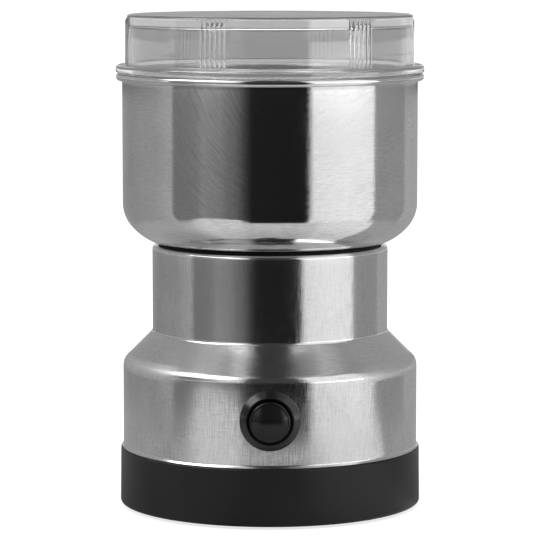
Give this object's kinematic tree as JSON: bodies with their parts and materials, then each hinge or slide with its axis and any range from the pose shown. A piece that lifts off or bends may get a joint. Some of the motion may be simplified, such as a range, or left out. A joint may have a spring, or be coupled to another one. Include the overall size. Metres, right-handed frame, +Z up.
{
  "type": "electric spice grinder",
  "caption": "Small countertop blade grinder: clear lid on a steel bowl, stepped steel body, black base, one round push button, brush motor inside.",
  "frame": {"origin": "centre of the footprint, on the surface the feet rest on", "axes": "+Z up along the spindle; the push button faces -Y and the cord inlet faces +Y"},
  "size_m": [0.1036, 0.1088, 0.1658],
  "materials": {
    "clear_plastic": "clear, polished",
    "polished_steel": "fine brushed and polished",
    "blade_steel": "ground",
    "black_rubber": "matt",
    "black_plastic": "satin moulded",
    "button_plastic": "semi-gloss",
    "dark_plastic": "moulded",
    "plated_steel": "zinc plated",
    "spring_steel": "bright wire",
    "phenolic": "moulded resin",
    "brass": "stamped",
    "bronze": "sintered",
    "copper": "enamelled wire and bar",
    "cast_alloy": "die cast",
    "lamination_steel": "stacked sheet",
    "carbon": "pressed carbon",
    "nylon": "moulded"
  },
  "bodies": {
    "housing": {"bowl": "polished_steel", "bowl_gasket": "black_rubber", "body_shell": "polished_steel", "base": "black_plastic", "rubber_feet": "black_rubber", "base_screws": "plated_steel", "cord_gland": "black_rubber", "switch_housing": "black_plastic", "switch_nut": "black_plastic", "switch_back": "phenolic", "switch_terminals": "brass", "shaft_seal": "black_rubber", "bowl_screws": "plated_steel", "motor_mount": "dark_plastic", "motor_dampers": "black_rubber", "damper_screws": "plated_steel", "upper_bracket": "cast_alloy", "upper_bearing": "bronze", "stator_core": "lamination_steel", "field_coils": "copper", "through_bolts": "plated_steel", "lower_bracket": "phenolic", "lower_bearing": "bronze", "brush_holders": "brass", "carbon_brushes": "carbon", "brush_springs": "spring_steel", "brush_caps": "brass"},
    "lid": {"lid": "clear_plastic"},
    "button": {"button_cap": "button_plastic", "button_clip": "plated_steel", "contact_bridge": "copper", "button_spring": "spring_steel"},
    "spindle": {"motor_shaft": "polished_steel", "rotor_core": "lamination_steel", "rotor_windings": "copper", "commutator": "copper", "commutator_hub": "phenolic", "cooling_fan": "nylon", "thrust_washers": "nylon", "blade_spacer": "black_plastic", "blade": "blade_steel", "blade_washer": "plated_steel", "blade_nut": "blade_steel"}
  },
  "joints": [
    {"name": "lid_lift", "type": "slide", "parent": "housing", "child": "lid", "axis": [0, 0, 1], "range_m": [0, 0.08]},
    {"name": "button_press", "type": "slide", "parent": "housing", "child": "button", "axis": [0, 1, 0], "range_m": [0, 0.0025], "stiffness_N_per_m": 600, "springref_m": -0.003, "deforming": ["button_spring"]},
    {"name": "spindle_spin", "type": "hinge", "parent": "housing", "child": "spindle", "pos_m": [0, 0, 0.05], "axis": [0, 0, 1], "continuous": true}
  ]
}
